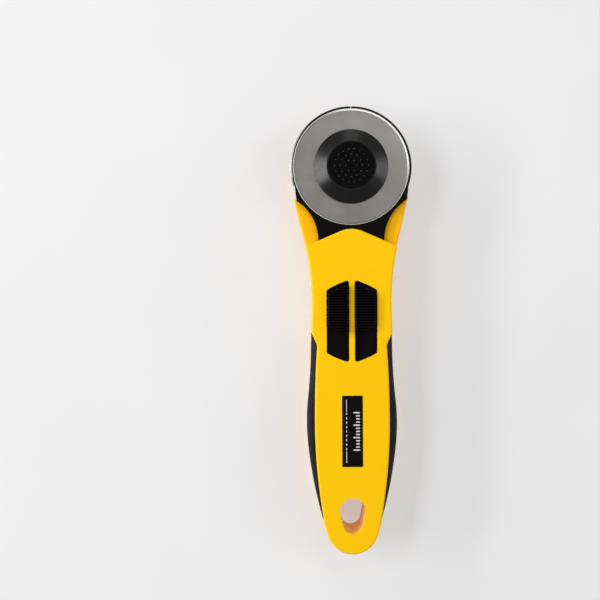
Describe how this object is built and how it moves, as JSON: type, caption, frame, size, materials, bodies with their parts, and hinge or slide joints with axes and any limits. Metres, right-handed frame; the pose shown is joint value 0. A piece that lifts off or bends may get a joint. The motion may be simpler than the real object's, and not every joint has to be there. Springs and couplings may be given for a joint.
{
  "type": "rotary cutter",
  "caption": "Hand-held rotary cutter with a round blade, a two-part sliding blade guard, thumb slides and a quick-release slider on its back.",
  "frame": {"origin": "middle of the tool's length and width, on the plane that it lies on", "axes": "+Z out of the blade side, +Y along the handle towards the blade, +X across, to the right when the blade side is seen with the blade up"},
  "size_m": [0.047, 0.1732, 0.0204],
  "materials": {
    "yellow_abs": "moulded, fine satin",
    "soft_grip": "matte elastomer",
    "black_plastic": "moulded, satin",
    "badge_black": "smooth plate",
    "acetal": "smooth",
    "blade_steel": "fine ground",
    "turned_steel": "turned",
    "spring_steel": "rolled",
    "zinc_steel": "zinc plated"
  },
  "bodies": {
    "handle": {"rear_body": "yellow_abs", "front_cover": "yellow_abs", "grip_left": "soft_grip", "grip_right": "soft_grip", "badge": "badge_black", "spindle_bush": "acetal", "case_screws": "zinc_steel", "click_spring_left": "spring_steel", "click_spring_right": "spring_steel", "release_spring": "spring_steel"},
    "cutter": {"blade": "blade_steel", "hub_cap": "black_plastic", "spindle": "turned_steel", "spring_washer": "spring_steel"},
    "guard_half_left": {"guard_left": "black_plastic", "thumb_pad_left": "black_plastic"},
    "guard_half_right": {"guard_right": "black_plastic", "thumb_pad_right": "black_plastic"},
    "release": {"release_slider": "black_plastic", "latch_fork": "spring_steel", "latch_rivets": "turned_steel"}
  },
  "joints": [
    {"name": "guard_left_slide", "type": "slide", "parent": "handle", "child": "guard_half_left", "axis": [0, -1, 0], "range_m": [0, 0.009]},
    {"name": "guard_right_slide", "type": "slide", "parent": "handle", "child": "guard_half_right", "axis": [0, -1, 0], "range_m": [0, 0.009]},
    {"name": "blade_spin", "type": "hinge", "parent": "handle", "child": "cutter", "pos_m": [0, 0.06315, 0.01725], "axis": [0, 0, 1], "continuous": true},
    {"name": "release_slide", "type": "slide", "parent": "handle", "child": "release", "axis": [0, -1, 0], "range_m": [0, 0.008], "stiffness_N_per_m": 300, "springref_m": -0.006, "deforming": ["release_spring"]}
  ]
}
